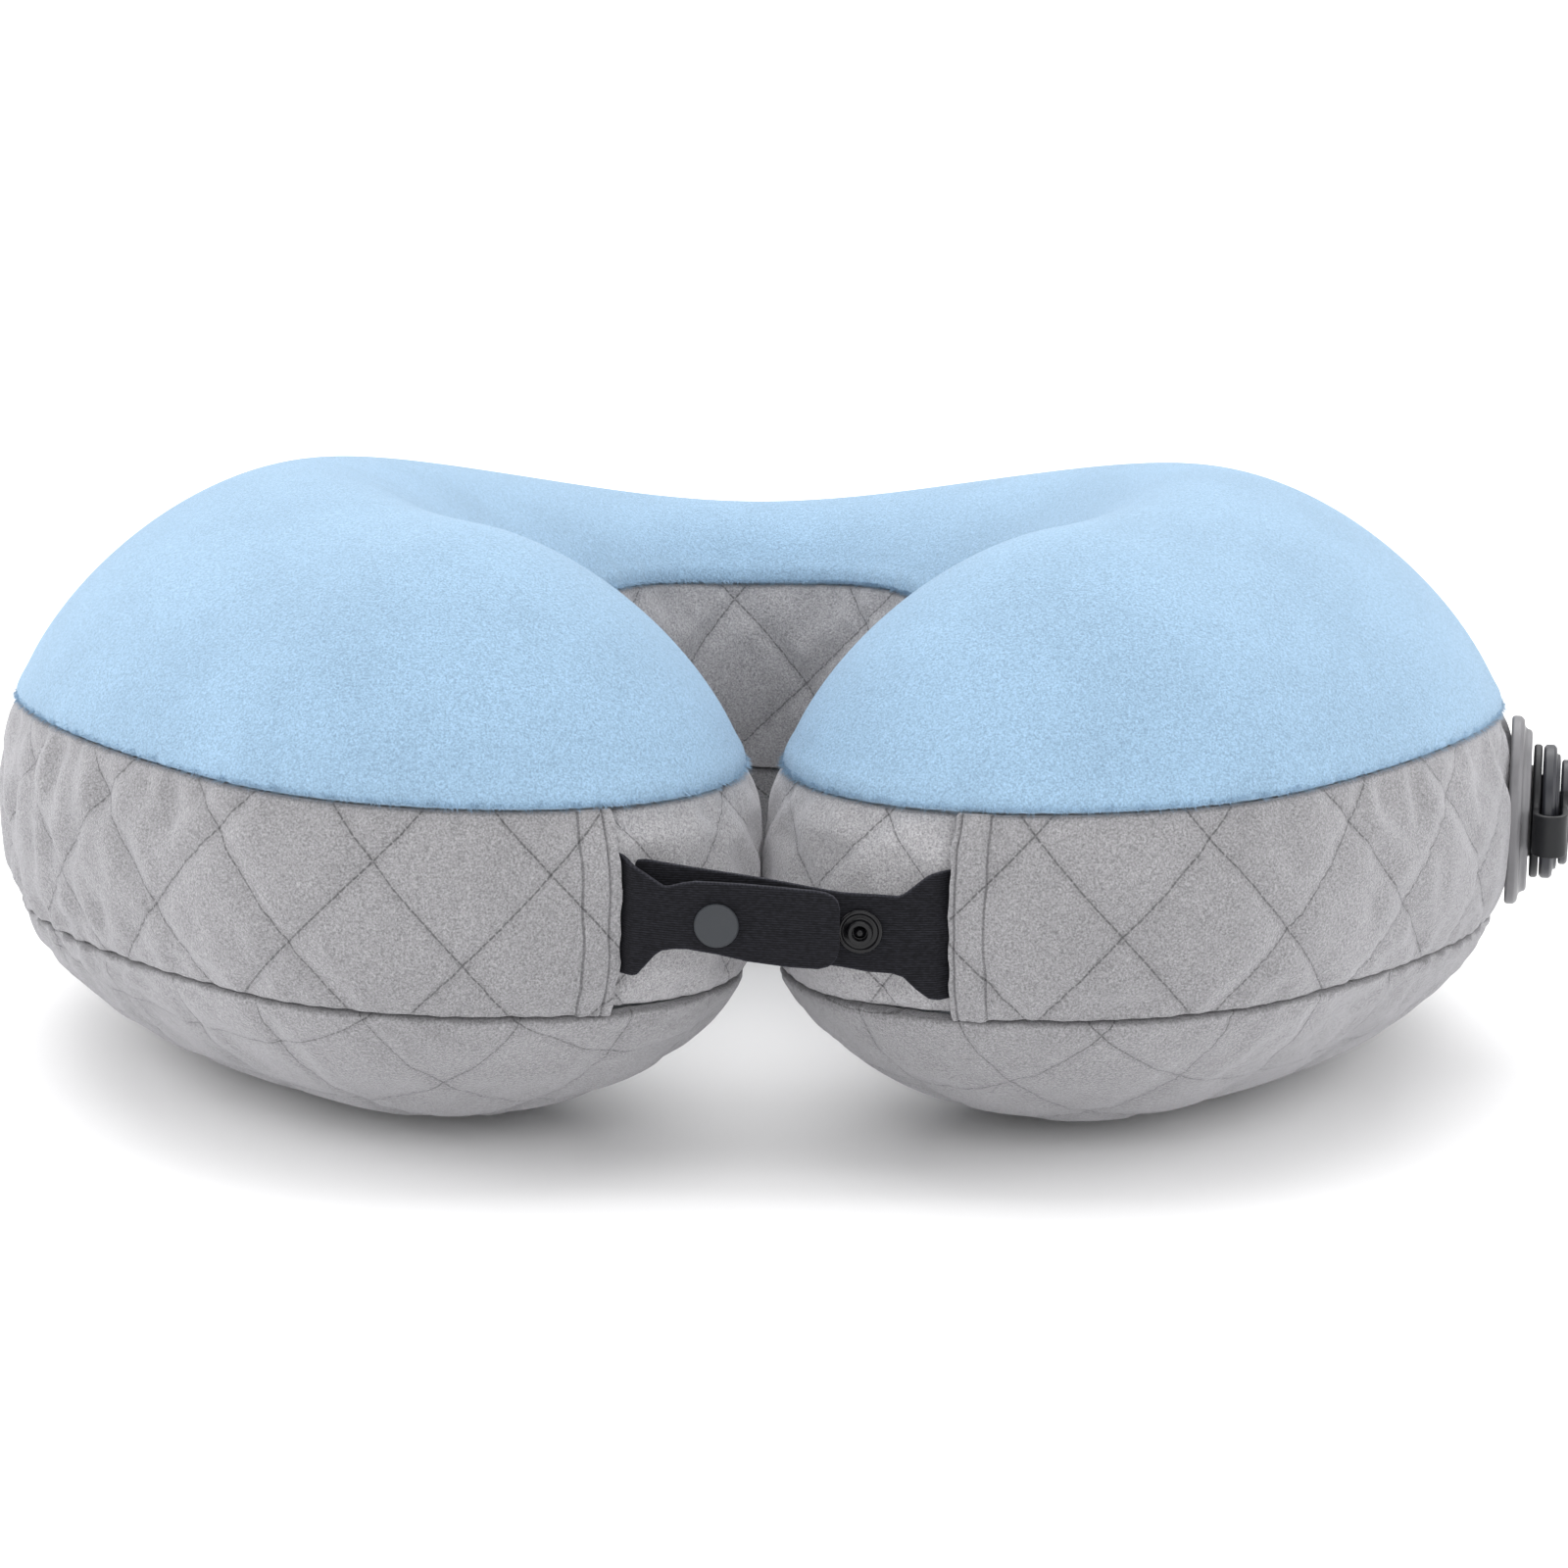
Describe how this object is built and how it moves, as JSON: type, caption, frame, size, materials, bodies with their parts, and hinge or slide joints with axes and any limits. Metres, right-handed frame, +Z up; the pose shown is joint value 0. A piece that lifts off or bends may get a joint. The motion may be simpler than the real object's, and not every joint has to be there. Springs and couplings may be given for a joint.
{
  "type": "neck pillow",
  "caption": "U-shaped inflatable neck pillow: quilted cover round an air bladder, snap strap across the front, side valve with tethered cap, zip at the back.",
  "frame": {"origin": "on the floor, under the middle of the pillow's box", "axes": "+Z up, -Y towards the open ends of the U, +X towards the valve"},
  "size_m": [0.3973, 0.3096, 0.1482],
  "materials": {
    "blue_velour": "short soft pile",
    "grey_velour": "short soft pile, quilted in diamonds",
    "clear_film": "frosted thermoplastic film",
    "charcoal_elastic": "ribbed elastic",
    "matte_snap_grey": "matte",
    "black_plastic": "satin",
    "valve_grey": "satin",
    "valve_dark_grey": "satin",
    "zip_metal": "dull plated",
    "zip_tape_grey": "woven tape and nylon coil"
  },
  "bodies": {
    "pillow": {"cover_top_panel": "blue_velour", "cover_bottom_panel": "grey_velour", "cover_outer_band": "grey_velour", "cover_inner_band": "grey_velour", "bladder_upper_sheet": "clear_film", "bladder_lower_sheet": "clear_film", "bladder_side_wall": "clear_film", "valve_flange": "valve_grey", "valve_neck": "valve_grey", "zip_tape_upper": "zip_tape_grey", "zip_tape_lower": "zip_tape_grey", "zip_row_upper": "zip_tape_grey", "zip_row_lower": "zip_tape_grey", "zip_stop_left": "zip_metal", "zip_stop_right": "zip_metal"},
    "left_strap": {"strap_left": "charcoal_elastic", "snap_cap": "matte_snap_grey", "snap_socket": "black_plastic"},
    "right_strap": {"strap_right": "charcoal_elastic", "snap_stud_inner": "black_plastic", "snap_stud_outer": "black_plastic", "snap_post_inner": "black_plastic", "snap_post_outer": "black_plastic"},
    "plug": {"dump_plug": "valve_dark_grey", "plug_o_ring": "black_plastic", "flap_seat": "valve_grey", "cap_tether": "black_plastic"},
    "flap": {"one_way_flap": "black_plastic"},
    "cap": {"inflation_cap": "valve_dark_grey"},
    "slider": {"zip_slider": "zip_metal"},
    "pull": {"zip_pull": "zip_metal"}
  },
  "joints": [
    {"name": "left_strap_swing", "type": "hinge", "parent": "pillow", "child": "left_strap", "pos_m": [-0.04181, -0.1473, 0.07003], "axis": [0, 0, -1], "range_deg": [0, 150]},
    {"name": "right_strap_swing", "type": "hinge", "parent": "pillow", "child": "right_strap", "pos_m": [0.03519, -0.15061, 0.07003], "axis": [0, 0, 1], "range_deg": [0, 21]},
    {"name": "plug_pull", "type": "slide", "parent": "pillow", "child": "plug", "axis": [0.9885, -0.151, 0], "range_m": [0, 0.014]},
    {"name": "flap_lift", "type": "slide", "parent": "plug", "child": "flap", "axis": [-0.9885, 0.151, 0], "range_m": [0, 0.0012]},
    {"name": "cap_swing", "type": "hinge", "parent": "plug", "child": "cap", "pos_m": [0.18791, -0.06051, 0.06652], "axis": [0, 0, -1], "range_deg": [0, 150]},
    {"name": "zip_travel", "type": "hinge", "parent": "pillow", "child": "slider", "pos_m": [-0.00751, -0.21323, 0.03802], "axis": [0, 0, 1], "range_deg": [0, 18]},
    {"name": "pull_swing", "type": "hinge", "parent": "slider", "child": "pull", "pos_m": [0.05098, 0.1506, 0.03802], "axis": [0.9873, -0.1587, 0], "range_deg": [0, 140]}
  ],
  "couplings": [
    {"joint": "right_strap_swing", "follows": "left_strap_swing", "ratio": 0.14}
  ]
}
